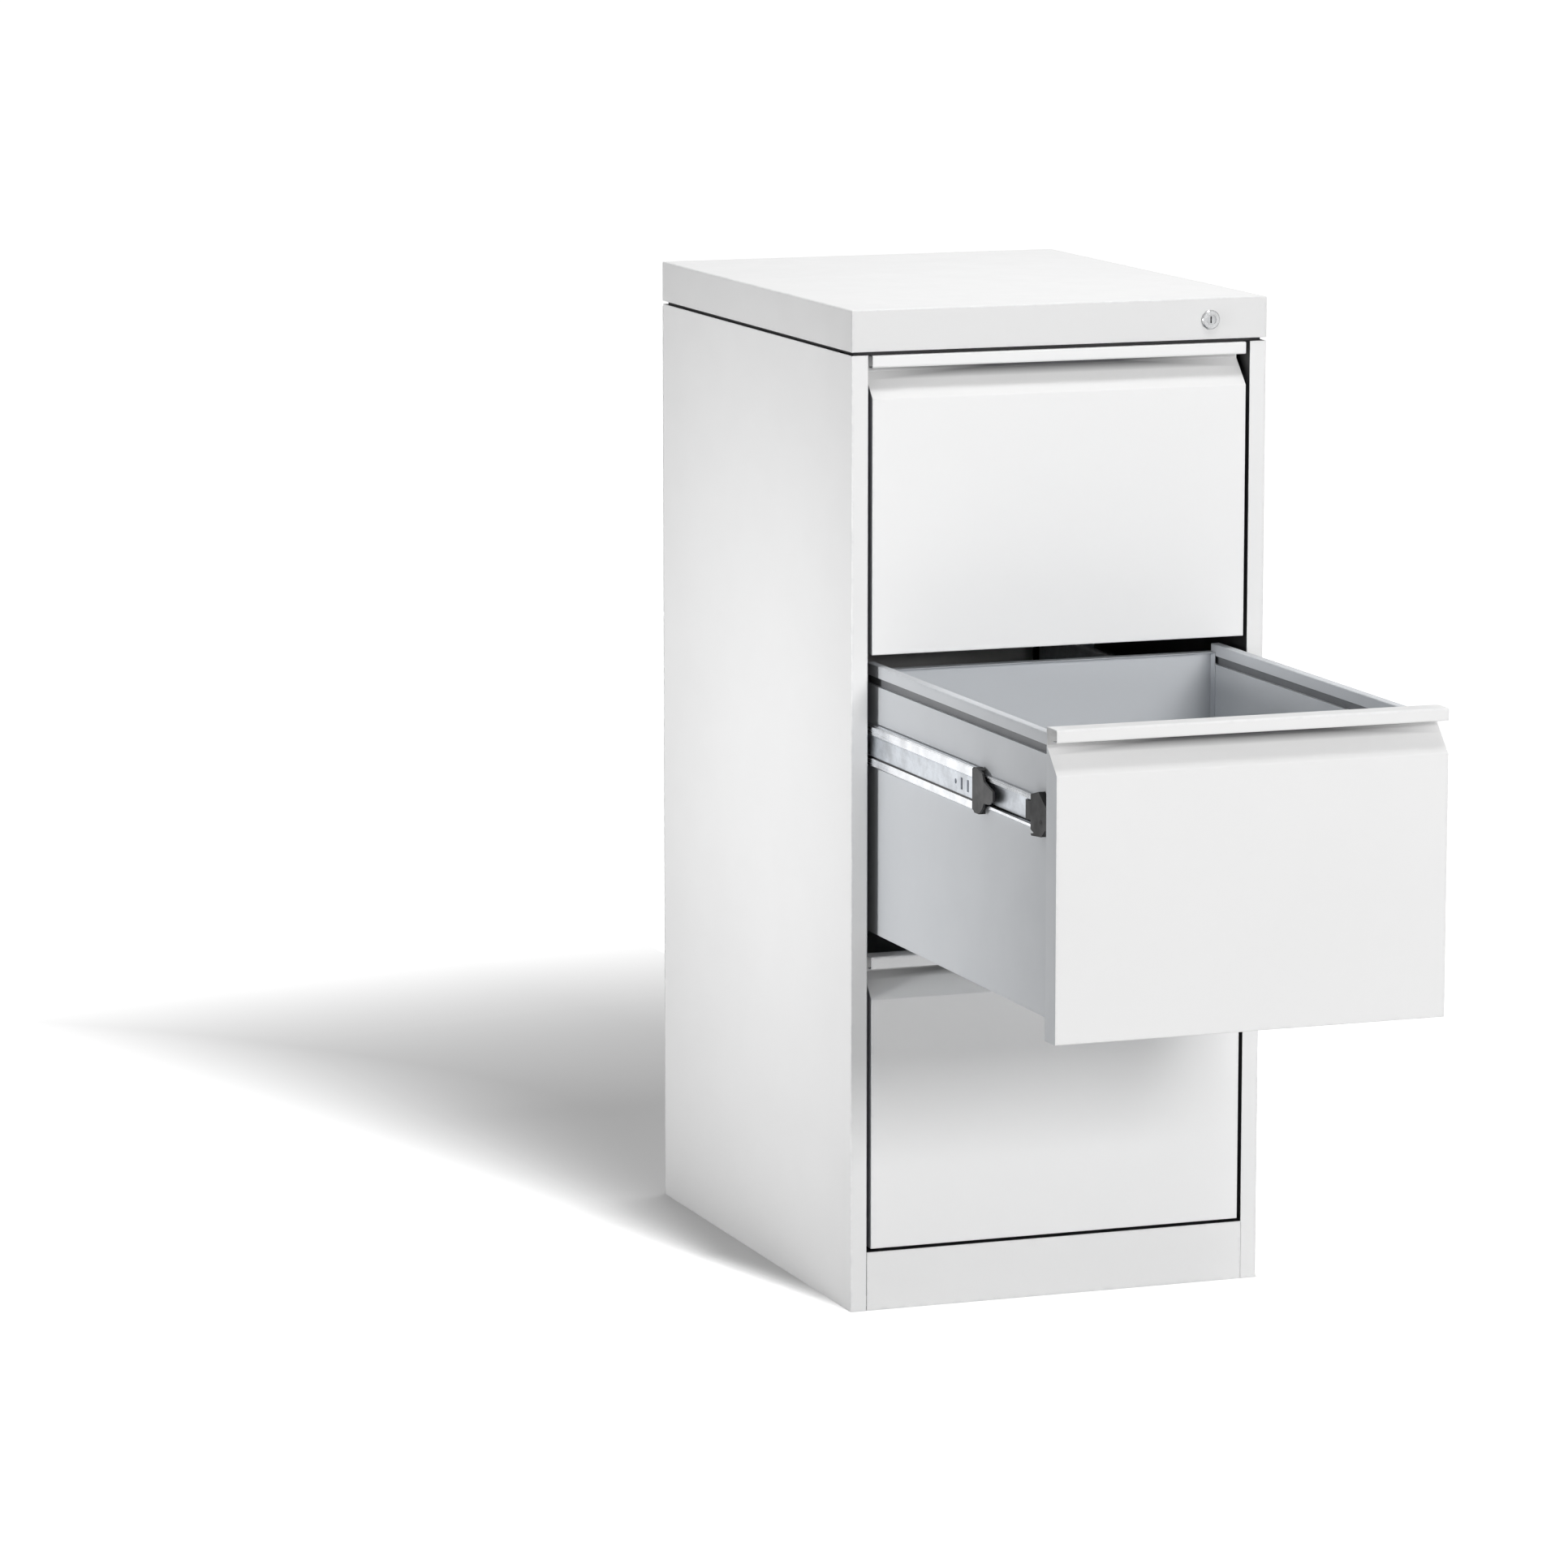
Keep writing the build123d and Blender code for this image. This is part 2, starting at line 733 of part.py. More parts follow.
    # Drawer tray: the floor with raised edges and the back, from one sheet.
    with BuildPart() as drawer_tray:
        floor_z = base_z + box_floor
        back_z = base_z + back_top
        box_far = box_near + box_length
        with BuildSketch(Plane.XY.offset(floor_z)):
            with Locations((0, box_near + box_length / 2)):
                Rectangle(2 * inner_x, box_length)
        extrude(amount=back_z - floor_z)
        floor_edges = drawer_tray.edges().group_by(Axis.Z)[0].filter_by(Axis.Y)
        fillet(floor_edges, radius=bend)
        tray_front = drawer_tray.faces().sort_by(Axis.Y)[0]
        tray_opening = drawer_tray.faces().sort_by(Axis.Z)[-1]
        offset(amount=-thin_sheet, openings=[tray_front, tray_opening], kind=Kind.INTERSECTION)
        with BuildSketch(Plane.YZ.offset(-inner_x)):
            with Locations((box_near, floor_z + tray_edge)):
                Rectangle(box_length - tray_edge, back_z - floor_z, align=(Align.MIN, Align.MIN))
        extrude(amount=2 * inner_x, mode=Mode.SUBTRACT)
        with BuildSketch(Plane.XY.offset(back_z - thin_sheet)):
            with Locations((0, box_far)):
                Rectangle(2 * inner_x, tray_edge, align=(Align.CENTER, Align.MAX))
        extrude(amount=thin_sheet)
    save(drawer_tray.part, drawer_name + "_drawer_tray")

    # Lock catch: an angle on the right side wall that the hook stands before.
    with BuildPart() as lock_catch:
        catch_near = face_y + catch_front
        with BuildSketch(Plane.XY.offset(base_z + catch_level)):
            with BuildLine():
                Polyline(
                    (catch_reach_x, catch_near),
                    (box_half, catch_near),
                    (box_half, catch_near + catch_length),
                )
                offset(amount=catch_sheet, side=Side.RIGHT, kind=Kind.INTERSECTION)
            make_face()
        extrude(amount=catch_height)
    save(lock_catch.part, drawer_name + "_lock_catch")

# Lock bar: upright strip with three hook plates and an arm spot-welded to its
# inner face. A level slot in the arm takes the pin of the cam.
pin_level = lock_z + pin_distance * sin(radians(cam_angle))
with BuildPart() as lock_bar:
    bar_near = front_y + bar_front
    bar_far = front_y + bar_rear
    tab_near = bar_far - bar_thickness
    bar_inner = bar_x - bar_thickness / 2
    bar_outer = bar_x + bar_thickness / 2
    plate_end_x = bar_inner - weld_gap
    arm_foot = pin_level - arm_half_height
    arm_top = pin_level + arm_half_height
    with BuildSketch(Plane.XY.offset(bar_foot)):
        with Locations((bar_x, (bar_near + bar_far) / 2)):
            Rectangle(bar_thickness, bar_far - bar_near)
    extrude(amount=arm_top - bar_foot)
    with BuildSketch(Plane.XZ.offset(-tab_near)):
        with Locations((arm_end_x, arm_foot)):
            Rectangle(plate_end_x - arm_end_x, arm_top - arm_foot, align=(Align.MIN, Align.MIN))
        slot_near = lock_x + pin_distance * cos(radians(cam_angle)) - pin_radius - pin_slot_play
        slot_far = lock_x + pin_distance + pin_radius + pin_slot_play
        with Locations(((slot_near + slot_far) / 2, pin_level)):
            SlotOverall(slot_far - slot_near, 2 * (pin_radius + pin_slot_play), mode=Mode.SUBTRACT)
        for drawer_name, level, forward in drawers:
            hook_foot = lowest_front + level * drawer_pitch + hook_level
            with Locations((hook_reach_x, hook_foot)):
                Rectangle(plate_end_x - hook_reach_x, hook_height, align=(Align.MIN, Align.MIN))
    extrude(amount=-bar_thickness)
save(lock_bar.part, "lock_bar")

# Guide clips: plastic channels on the stile return in which the bar runs.
with BuildPart() as bar_guides:
    guide_near = bar_near - guide_wall
    guide_far = bar_far
    guide_outer = bar_outer + guide_wall
    for drawer_name, level, forward in drawers:
        guide_foot = lowest_front + level * drawer_pitch + hook_level - guide_drop
        with BuildSketch(Plane.XY.offset(guide_foot)):
            with BuildLine():
                Polyline(
                    (opening_half + sheet, guide_near),
                    (guide_outer, guide_near),
                    (guide_outer, guide_far),
                    (bar_outer + guide_clearance, guide_far),
                    (bar_outer + guide_clearance, bar_near - guide_clearance),
                    (bar_inner - guide_clearance, bar_near - guide_clearance),
                    (bar_inner - guide_clearance, guide_far),
                    (opening_half + sheet, guide_far),
                    close=True,
                )
            make_face()
        extrude(amount=guide_height)
save(bar_guides.part, "lock_bar_guides")

# Cam lock housing: ring in front of the cover, barrel behind it.
with BuildPart() as lock_housing:
    ring_near = front_y - ring_proud
    bore_radius = plug_radius + plug_clearance
    with BuildSketch(Plane.XZ.offset(-ring_near)):
        with Locations((lock_x, lock_z)):
            Circle(ring_radius)
    extrude(amount=-ring_proud)
    ring_edge = lock_housing.edges().filter_by(GeomType.CIRCLE).sort_by(Axis.Y)[0]
    chamfer(ring_edge, length=ring_chamfer)
    with BuildSketch(Plane.XZ.offset(-front_y)):
        with Locations((lock_x, lock_z)):
            Circle(barrel_radius)
    extrude(amount=-barrel_end)
    with BuildSketch(Plane.XZ.offset(-ring_near)):
        with Locations((lock_x, lock_z)):
            Circle(bore_radius)
    extrude(amount=-(ring_proud + barrel_end), mode=Mode.SUBTRACT)
save(lock_housing.part, "lock_housing")

# Lock plug: turns in the housing, with an upright key slot in its face.
with BuildPart() as lock_plug:
    plug_near = front_y - plug_proud
    plug_far = front_y + barrel_end + cam_gap
    with BuildSketch(Plane.XZ.offset(-plug_near)):
        with Locations((lock_x, lock_z)):
            Circle(plug_radius)
    extrude(amount=-(plug_far - plug_near))
    with BuildSketch(Plane.XZ.offset(-plug_near)):
        with Locations((lock_x, lock_z)):
            Rectangle(key_slot_width, key_slot_height)
    extrude(amount=-key_slot_depth, mode=Mode.SUBTRACT)
save(lock_plug.part, "lock_plug")

# Lock cam: plate riveted to the plug, with a pin for the slot of the bar.
with BuildPart() as lock_cam:
    pin_x = lock_x + pin_distance * cos(radians(cam_angle))
    with BuildSketch(Plane.XZ.offset(-plug_far)):
        with Locations((lock_x, lock_z)):
            Circle(cam_hub_radius)
        with Locations((pin_x, pin_level)):
            Circle(cam_end_radius)
        make_hull()
    extrude(amount=-cam_thickness)
    with BuildSketch(Plane.XZ.offset(-plug_far - cam_thickness)):
        with Locations((pin_x, pin_level)):
            Circle(pin_radius)
    extrude(amount=-pin_length)
save(lock_cam.part, "lock_cam")
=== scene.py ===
import bpy
from math import pi, radians
from mathutils import Matrix, Vector


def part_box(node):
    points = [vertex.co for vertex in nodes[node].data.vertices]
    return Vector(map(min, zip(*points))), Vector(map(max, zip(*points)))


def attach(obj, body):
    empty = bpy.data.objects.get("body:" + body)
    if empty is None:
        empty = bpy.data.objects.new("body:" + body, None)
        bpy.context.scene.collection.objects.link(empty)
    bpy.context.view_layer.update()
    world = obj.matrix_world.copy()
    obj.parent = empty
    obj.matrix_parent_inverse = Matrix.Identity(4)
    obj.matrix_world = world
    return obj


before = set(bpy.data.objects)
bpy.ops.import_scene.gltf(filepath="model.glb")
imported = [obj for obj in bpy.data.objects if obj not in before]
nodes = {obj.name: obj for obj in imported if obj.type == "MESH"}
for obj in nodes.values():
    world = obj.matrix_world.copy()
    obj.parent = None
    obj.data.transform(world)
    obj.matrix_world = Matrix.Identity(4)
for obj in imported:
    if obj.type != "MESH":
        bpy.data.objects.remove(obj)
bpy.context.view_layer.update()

# Carcass: two folded side panels, back, plinth rail and a deep top cover in
# sheet steel. Outside it has a white baked powder coat with a faint orange-peel
# skin, dulled a little along the folded edges. Inside, the white is painted near black as shade.
white_coat_colour = (0.86, 0.86, 0.86, 1)
# Painted shade: the top cover is the same white coat, painted darker than the sides against the
# stronger light on the top.
cover_shade_white = (0.79, 0.79, 0.79, 1)
# Painted shade: this near black stands for the shade inside the carcass and in its gaps.
interior_shade_colour = (0.018, 0.018, 0.019, 1)
white_coat_roughness = 0.42
orange_peel_scale = 650.0
grain_share = 0.25
tone_drift = 0.02
rub_width = 0.0035
blue_wear = 0.9
fold_radius = 0.0009


def set_inputs(tree, node, values):
    """Gives inputs of a node their values, or links them to an output."""
    for name, value in values.items():
        if isinstance(value, bpy.types.NodeSocket):
            tree.links.new(value, node.inputs[name])
        else:
            node.inputs[name].default_value = value


def new_node(tree, kind, values=(), **settings):
    """One node of a finish, with its settings and what its inputs take."""
    node = tree.nodes.new(kind)
    for name, value in settings.items():
        setattr(node, name, value)
    set_inputs(tree, node, dict(values))
    return node


def maths(tree, operation, first, second=None, clamp=False):
    """One reckoning on one or two numbers."""
    values = {0: first} if second is None else {0: first, 1: second}
    return new_node(tree, "ShaderNodeMath", values, operation=operation, use_clamp=clamp).outputs[0]


def vector_maths(tree, operation, first, second=None):
    """One reckoning on one or two places or directions."""
    values = {0: first} if second is None else {0: first, 1: second}
    return new_node(tree, "ShaderNodeVectorMath", values, operation=operation).outputs[0]


def greatest(tree, values):
    """The greatest of several values."""
    most = values[0]
    for value in values[1:]:
        most = maths(tree, "MAXIMUM", most, value)
    return most


def split(tree, place):
    """The three parts of a place."""
    return list(new_node(tree, "ShaderNodeSeparateXYZ", {0: place}).outputs)


def ramp(tree, value, low, high, first=0.0, last=1.0):
    """Goes from first to last while the value goes from low to high."""
    values = {"Value": value, "From Min": low, "From Max": high, "To Min": first, "To Max": last}
    return new_node(tree, "ShaderNodeMapRange", values).outputs[0]


def noise(tree, place, scale, detail, roughness=0.5):
    """Cloudy noise from 0 to 1."""
    values = {"Vector": place, "Scale": scale, "Detail": detail, "Roughness": roughness}
    return new_node(tree, "ShaderNodeTexNoise", values).outputs[0]


def blended(tree, kind, mask, first, second, way="MIX"):
    """Goes from the first to the second value, number or colour, by a mask."""
    values = {"Factor": mask, "A": first, "B": second}
    mix = new_node(tree, "ShaderNodeMix", values, data_type=kind, blend_type=way)
    return mix.outputs["Result"]


def new_effect(name, takes, gives):
    """An empty node group with named inputs and outputs."""
    tree = bpy.data.node_groups.new(name, "ShaderNodeTree")
    for way, sockets in (("INPUT", takes), ("OUTPUT", gives)):
        for socket, kind in sockets.items():
            tree.interface.new_socket(socket, in_out=way, socket_type="NodeSocket" + kind)
    return tree, tree.nodes.new("NodeGroupInput").outputs, tree.nodes.new("NodeGroupOutput")


def give_out(tree, takes, gives, tone, haze, height):
    """Puts out the colour times a tone, the roughness plus a haze, and the bumps."""
    values = {0: takes["Colour"], "Scale": tone}
    tinted = new_node(tree, "ShaderNodeVectorMath", values, operation="SCALE").outputs[0]
    rough = maths(tree, "ADD", takes["Roughness"], haze, clamp=True)
    set_inputs(tree, gives, {"Colour": tinted, "Roughness": rough, "Height": height})


def coat_skin_effect():
    """Sprayed and baked powder: orange-peel bumps, grains, and slow drifts of tone."""
    tree, takes, gives = new_effect(
        "coat skin",
        {
            "Place": "Vector",
            "Colour": "Color",
            "Peel": "Float",
            "Drift": "Float",
            "Roughness": "Float",
        },
        {"Colour": "Color", "Roughness": "Float", "Height": "Float"},
    )
    peel = noise(tree, takes["Place"], scale=takes["Peel"], detail=2.0, roughness=0.45)
    grain = noise(tree, takes["Place"], scale=2600.0, detail=1.0)
    cloud = noise(tree, takes["Place"], scale=3.2, detail=3.0, roughness=0.6)
    smear = noise(tree, takes["Place"], scale=21.0, detail=4.0, roughness=0.7)
    height = maths(tree, "ADD", peel, maths(tree, "MULTIPLY", grain, grain_share))
    lowest_tone = maths(tree, "SUBTRACT", 1.0, takes["Drift"])
    tone = ramp(tree, cloud, low=0.3, high=0.7, first=1.0, last=lowest_tone)
    haze = ramp(tree, smear, low=0.35, high=0.65, first=-0.05, last=0.07)
    give_out(tree, takes, gives, tone, haze, height)
    return tree


def edge_rub_effect():
    """Where two sides of a folded piece meet, broken up as handling breaks it up."""
    tree, takes, gives = new_effect(
        "edge rub",
        {"Place": "Vector", "Middle": "Vector", "Half size": "Vector", "Width": "Float"},
        {"Mask": "Float"},
    )
    from_middle = vector_maths(tree, "SUBTRACT", takes["Place"], takes["Middle"])
    across = vector_maths(tree, "ABSOLUTE", from_middle)
    depths = split(tree, vector_maths(tree, "SUBTRACT", takes["Half size"], across))
    width = takes["Width"]
    near = [ramp(tree, depth, low=0.0, high=width, first=1.0, last=0.0) for depth in depths]
    pairs = [maths(tree, "MULTIPLY", near[a], near[b]) for a, b in ((0, 1), (1, 2), (0, 2))]
    folds = greatest(tree, pairs)
    breaks = noise(tree, takes["Place"], scale=90.0, detail=5.0, roughness=0.65)
    patches = ramp(tree, breaks, low=0.42, high=0.66)
    set_inputs(tree, gives, {"Mask": maths(tree, "MULTIPLY", folds, patches, clamp=True)})
    return tree


def painted_shade_effect():
    """Paints a colour over the coat as shade within a box, the same left and right."""
    tree, takes, gives = new_effect(
        "shade box",
        {
            "Place": "Vector",
            "Coat": "Color",
            "Shade colour": "Color",
            "Middle": "Vector",
            "Half size": "Vector",
            "Full within": "Float",
        },
        {"Colour": "Color"},
    )
    x, y, z = split(tree, takes["Place"])
    folded = new_node(tree, "ShaderNodeCombineXYZ", {0: maths(tree, "ABSOLUTE", x), 1: y, 2: z})
    away = vector_maths(tree, "SUBTRACT", folded.outputs[0], takes["Middle"])
    away_either_way = vector_maths(tree, "ABSOLUTE", away)
    shares = split(tree, vector_maths(tree, "DIVIDE", away_either_way, takes["Half size"]))
    outermost = greatest(tree, shares)
    within = ramp(tree, outermost, low=takes["Full within"], high=1.0, first=1.0, last=0.0)
    shown = blended(tree, "RGBA", within, takes["Coat"], takes["Shade colour"])
    set_inputs(tree, gives, {"Colour": shown})
    return tree


coat_skin = coat_skin_effect()
edge_rub = edge_rub_effect()
shading_group = painted_shade_effect()


def new_finish(name):
    """A new material: itself, its nodes, its surface, and the place on the piece."""
    finish = bpy.data.materials.new(name)
    finish.use_nodes = True
    tree = finish.node_tree
    place = new_node(tree, "ShaderNodeTexCoord").outputs["Object"]
    return finish, tree, tree.nodes["Principled BSDF"], place


def bumped(tree, height, strength, distance, fold=None):
    """The surface's normal with bumps of a height, over the rounding of a fold."""
    values = {"Height": height, "Strength": strength, "Distance": distance}
    if fold is not None:
        values["Normal"] = fold
    return new_node(tree, "ShaderNodeBump", values).outputs[0]


def coated_steel(name, lo, hi, colour, roughness, wear=0.10, shade_area=None, side_shade_colour=None):
    """Powder coat for one piece that fills the box from lo to hi.

    An optional box gives painted shade: its lowest and highest corner, the
    colour painted in it as shade, and the share of the box, from its middle,
    where that colour is full. An optional side colour is painted as shade on
    the faces that look left and right.
    """
    coat, tree, surface, place = new_finish(name)
    skin = new_node(
        tree,
        "ShaderNodeGroup",
        {
            "Place": place,
            "Colour": colour,
            "Peel": orange_peel_scale,
            "Drift": tone_drift,
            "Roughness": roughness,
        },
        node_tree=coat_skin,
    )
    rub = new_node(
        tree,
        "ShaderNodeGroup",
        {"Place": place, "Middle": (lo + hi) / 2, "Half size": (hi - lo) / 2, "Width": rub_width},
        node_tree=edge_rub,
    )
    dulled = (1 - wear, 1 - wear, 1 - wear * blue_wear, 1)
    rubbed, fresh = rub.outputs["Mask"], skin.outputs["Colour"]
    shown = blended(tree, "RGBA", rubbed, fresh, dulled, way="MULTIPLY")
    # Painted shade: faces that look left or right take the side colour, as shade.
    if side_shade_colour is not None:
        outward = split(tree, new_node(tree, "ShaderNodeTexCoord").outputs["Normal"])
        side_shade_mask = ramp(tree, maths(tree, "ABSOLUTE", outward[0]), low=0.5, high=0.9)
        shown = blended(tree, "RGBA", side_shade_mask, shown, side_shade_colour)
    # Paints a colour over the coat as shade within a box.
    if shade_area is not None:
        low, high, shading_colour, full_within = shade_area
        shaded_coat = new_node(
            tree,
            "ShaderNodeGroup",
            {
                "Place": place,
                "Coat": shown,
                "Shade colour": shading_colour,
                "Middle": [(bottom + top) / 2 for bottom, top in zip(low, high)],
                "Half size": [(top - bottom) / 2 for bottom, top in zip(low, high)],
                "Full within": full_within,
            },
            node_tree=shading_group,
        )
        shown = shaded_coat.outputs["Colour"]
    fold = new_node(tree, "ShaderNodeBevel", {"Radius": fold_radius}, samples=4).outputs[0]
    values = {
        "Base Color": shown,
        "Roughness": skin.outputs["Roughness"],
        "Specular IOR Level": 0.3,
        "Normal": bumped(tree, skin.outputs["Height"], strength=0.18, distance=0.00012, fold=fold),
    }
    set_inputs(tree, surface, values)
    return coat


def finish_node(name, finish):
    """Gives a CAD piece its finish."""
    nodes[name].data.materials.clear()
    nodes[name].data.materials.append(finish)


carcass_lo, carcass_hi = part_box("top_cover")
sunk_in_front = 0.0012
sunk_at_sides = 0.0008
under_plinth = -0.01
sharp_edge = 0.9999
# Painted shade: inside the carcass the white coat is painted near black, as the shade there.
carcass_inside_shade = (
    (-carcass_hi.x, carcass_lo.y + sunk_in_front, under_plinth),
    (carcass_hi.x - sunk_at_sides, carcass_hi.y - sunk_in_front, carcass_hi.z),
    interior_shade_colour,
    sharp_edge,
)
for panel, colour, inside in (
    ("left_side_panel", white_coat_colour, carcass_inside_shade),
    ("right_side_panel", white_coat_colour, carcass_inside_shade),
    ("back_panel", white_coat_colour, carcass_inside_shade),
    ("plinth_rail", white_coat_colour, carcass_inside_shade),
    ("top_cover", cover_shade_white, None),
):
    lo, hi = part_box(panel)
    coat = coated_steel(panel + " coat", lo, hi, colour, white_coat_roughness, shade_area=inside)
    finish_node(panel, coat)

# Base panel and top deck: the same sheet, painted near black as shade because
# they lie in the shadow gaps. They are welded between the side panels before these close.
shade_sheet_roughness = 0.6
for panel in ("base_panel", "top_deck"):
    lo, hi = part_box(panel)
    coat = coated_steel(panel + " coat", lo, hi, interior_shade_colour, shade_sheet_roughness, wear=0.0)
    finish_node(panel, coat)

# Drawer fronts and boxes: white folded fronts with a lip to pull, painted shade in
# the recess under it, and their sides painted in the boxes' grey as shade. The inner
# sheet, tray and box sides are the same white coat painted light grey as shade, and
# a groove, painted dark grey as its shade, runs under the rim of each side.
# Painted light: the fronts' white is painted lighter than the carcass white.
front_lit_white = (0.90, 0.90, 0.90, 1)
# Painted shade: the boxes and the fronts' sides are the same white coat, painted light grey as the
# shade they stand in.
box_shade_grey = (0.65, 0.67, 0.695, 1)
drawer_coat_roughness = 0.5
lip_height = 0.0128
lip_face = 0.003
recess_depth = 0.025
# Painted shade: a dark colour that fades downwards from under the lip, as the shade in the recess.
recess_shade_colour = (0.10, 0.10, 0.105, 1)
recess_shade_reach = 0.014
recess_shade_full_within = 0.35
rim_height = 0.012
rim_proud = 0.0006
# Painted shade: the groove under each rim is painted dark grey as its shade.
groove_shade_colour = (0.20, 0.205, 0.215, 1)
groove_height = 0.009
past_ends = 0.01
drawers = ("bottom", "middle", "top")
for drawer in drawers:
    lo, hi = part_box(drawer + "_drawer_front")
    # The recess under the lip, painted dark as shade.
    lip_recess_shade = (
        (lo.x, lo.y + lip_face, hi.z - lip_height - recess_shade_reach),
        (hi.x, lo.y + 2 * recess_depth - lip_face, hi.z - lip_height + recess_shade_reach),
        recess_shade_colour,
        recess_shade_full_within,
    )
    front_coat = coated_steel(
        drawer + " front coat",
        lo,
        hi,
        front_lit_white,
        white_coat_roughness,
        wear=0.08,
        shade_area=lip_recess_shade,
        side_shade_colour=box_shade_grey,
    )
    finish_node(drawer + "_drawer_front", front_coat)
    for part in ("_front_liner", "_drawer_left_side", "_drawer_right_side", "_drawer_tray"):
        name = drawer + part
        lo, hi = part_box(name)
        groove = None
        # The groove under the rim is painted dark grey as shade.
        if part.endswith("side"):
            groove_top = hi.z - rim_height
            outer_x = max(abs(lo.x), abs(hi.x))
            groove = (
                (-outer_x, lo.y - past_ends, groove_top - groove_height),
                (outer_x - rim_proud, hi.y + past_ends, groove_top),
                groove_shade_colour,
                sharp_edge,
            )
        box_coat = coated_steel(
            name + " coat",
            lo,
            hi,
            box_shade_grey,
            drawer_coat_roughness,
            shade_area=groove,
        )
        finish_node(name, box_coat)

# Slides, uprights and lock parts: cold rolled strip, bright zinc plated, with
# drawing lines along their length and a cool bluish cast.
zinc_colour = (0.66, 0.70, 0.745, 1)
cage_zinc_colour = (0.55, 0.58, 0.62, 1)
upward_lines = (700.0, 700.0, 8.0)
cage_lines = (1200.0, 30.0, 1200.0)


def zinc_effect():
    """Plated strip: long drawing lines, cloudy passivation and small spangles."""
    tree, takes, gives = new_effect(
        "drawn zinc",
        {"Place": "Vector", "Colour": "Color", "Line": "Vector", "Roughness": "Float"},
        {"Colour": "Color", "Roughness": "Float", "Height": "Float"},
    )
    along = vector_maths(tree, "MULTIPLY", takes["Place"], takes["Line"])
    lines = noise(tree, along, scale=1.0, detail=4.0, roughness=0.65)
    cloud = noise(tree, takes["Place"], scale=38.0, detail=3.0, roughness=0.6)
    spangle = new_node(tree, "ShaderNodeTexVoronoi", {"Vector": takes["Place"], "Scale": 260.0})
    cast = ramp(tree, cloud, low=0.35, high=0.7, first=1.06, last=0.78)
    speck = ramp(tree, spangle.outputs["Color"], low=0.0, high=1.0, first=0.93, last=1.05)
    tone = maths(tree, "MULTIPLY", cast, speck)
    haze = ramp(tree, lines, low=0.3, high=0.7, first=-0.07, last=0.12)
    give_out(tree, takes, gives, tone, haze, lines)
    return tree


drawn_zinc = zinc_effect()


def zinc_plated(name, lines, colour, roughness, dents=0.00004):
    """Zinc plate with its drawing lines: how many to the metre on each axis."""
    zinc, tree, surface, place = new_finish(name)
    plate = new_node(
        tree,
        "ShaderNodeGroup",
        {"Place": place, "Colour": colour, "Line": lines, "Roughness": roughness},
        node_tree=drawn_zinc,
    ).outputs
    values = {
        "Base Color": plate["Colour"],
        "Metallic": 1.0,
        "Roughness": plate["Roughness"],
        "Normal": bumped(tree, plate["Height"], strength=0.35, distance=dents),
    }
    set_inputs(tree, surface, values)
    return zinc


upright_zinc = zinc_plated("upright zinc", upward_lines, zinc_colour, roughness=0.38)
cage_zinc = zinc_plated("cage zinc", cage_lines, cage_zinc_colour, roughness=0.34)
for drawer in drawers:
    finish_node(drawer + "_inner_ball_cages", cage_zinc)
    finish_node(drawer + "_outer_ball_cages", cage_zinc)
    finish_node(drawer + "_lock_catch", upright_zinc)
for piece in ("left_rear_upright", "right_rear_upright", "lock_bar", "lock_cam"):
    finish_node(piece, upright_zinc)

# Latch caps, bar guides and levelling feet: black moulded nylon with a fine
# eroded grain, pushed or clipped onto the metal that carries them.
black_plastic_colour = (0.012, 0.012, 0.013, 1)
black_plastic_grain = 2400.0
black_plastic_roughness = 0.48


def moulded_effect():
    """Moulded plastic: eroded grain, flow clouds and handling shine."""
    tree, takes, gives = new_effect(
        "moulded grain",
        {"Place": "Vector", "Colour": "Color", "Grain": "Float", "Roughness": "Float"},
        {"Colour": "Color", "Roughness": "Float", "Height": "Float"},
    )
    grain = noise(tree, takes["Place"], scale=takes["Grain"], detail=2.0, roughness=0.7)
    flow = noise(tree, takes["Place"], scale=60.0, detail=3.0)
    tone = ramp(tree, flow, low=0.3, high=0.7, first=0.8, last=1.35)
    shine = ramp(tree, flow, low=0.3, high=0.7, first=0.08, last=-0.08)
    give_out(tree, takes, gives, tone, shine, grain)
    return tree


moulded_grain = moulded_effect()


def black_moulding(tree, place):
    """Colour, roughness and grain of the black nylon."""
    values = {
        "Place": place,
        "Colour": black_plastic_colour,
        "Grain": black_plastic_grain,
        "Roughness": black_plastic_roughness,
    }
    return new_node(tree, "ShaderNodeGroup", values, node_tree=moulded_grain).outputs


black_nylon, tree, surface, place = new_finish("black nylon")
moulding = black_moulding(tree, place)
nylon_values = {
    "Base Color": moulding["Colour"],
    "Roughness": moulding["Roughness"],
    "Specular IOR Level": 0.2,
    "Normal": bumped(tree, moulding["Height"], strength=0.4, distance=0.00005),
}
set_inputs(tree, surface, nylon_values)
for drawer in drawers:
    finish_node(drawer + "_latch_caps", black_nylon)
for piece in ("lock_bar_guides", "levelling_feet"):
    finish_node(piece, black_nylon)

# Members of the ball slides: zinc plated strip, with the edge tracks painted brighter
# as highlight and smoother, and the web between painted darker as shade and rougher,
# a black line painted as shadow under the web, and painted shade between the ribs.
# A black nylon stop cap with a release lever is pressed onto the front end of each
# intermediate member.
web_shade_colour = (0.62, 0.65, 0.69, 1)
track_highlight_colour = (0.88, 0.90, 0.93, 1)
step_shadow_colour = (0.02, 0.02, 0.022, 1)
rib_shadow_colour = (0.10, 0.11, 0.12, 1)
dull_roughness = 0.36
bright_roughness = 0.20
slide_lines = (1500.0, 6.0, 1500.0)
strip_dents = 0.00003
rib_dents = 0.0003
web_edge = 0.0004
step_shadow_height = 0.0016
step_shadow_edge = 0.0002
cabinet_web_half = 0.019
middle_web_half = 0.0108
